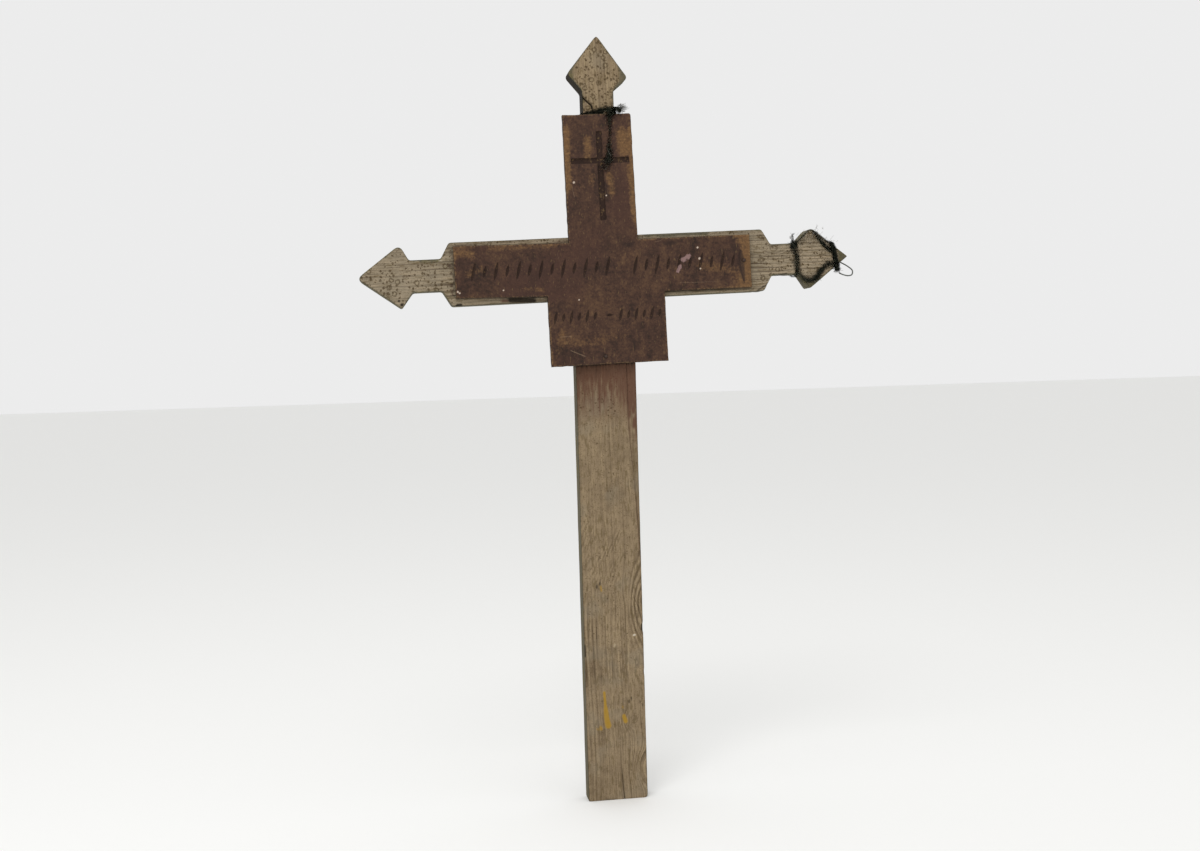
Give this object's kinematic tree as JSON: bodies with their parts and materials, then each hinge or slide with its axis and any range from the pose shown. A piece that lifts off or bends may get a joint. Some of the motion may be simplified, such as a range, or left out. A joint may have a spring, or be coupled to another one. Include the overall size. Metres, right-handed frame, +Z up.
{
  "type": "wooden cross",
  "caption": "Weathered wooden grave cross of two halved planks with spade-shaped ends, a carved brown name board without lettering, torn black ribbons and a loop of wire.",
  "frame": {"origin": "the middle of the post's flat sawn foot, where it meets the ground or its holder", "axes": "+Z up along the post, +X to the right seen from the front, and the front with the name board looks along -Y"},
  "size_m": [0.6608, 0.0451, 1.0045],
  "materials": {
    "grey_wood": "bare softwood, weathered grey-beige, with lichen dots",
    "brown_board": "dark brown paint, worn to the wood at the edges",
    "rusty_iron": "rusty nail",
    "black_gauze": "thin open-mesh gauze, torn and bunched",
    "grey_wire": "dull thin florist's wire"
  },
  "bodies": {
    "root": {"post": "grey_wood", "crossbar": "grey_wood", "name_board": "brown_board", "nail_right": "rusty_iron", "nail_foot": "rusty_iron", "top_ribbon": "black_gauze", "arm_ribbon": "black_gauze", "ribbon_wire": "grey_wire"}
  },
  "joints": []
}
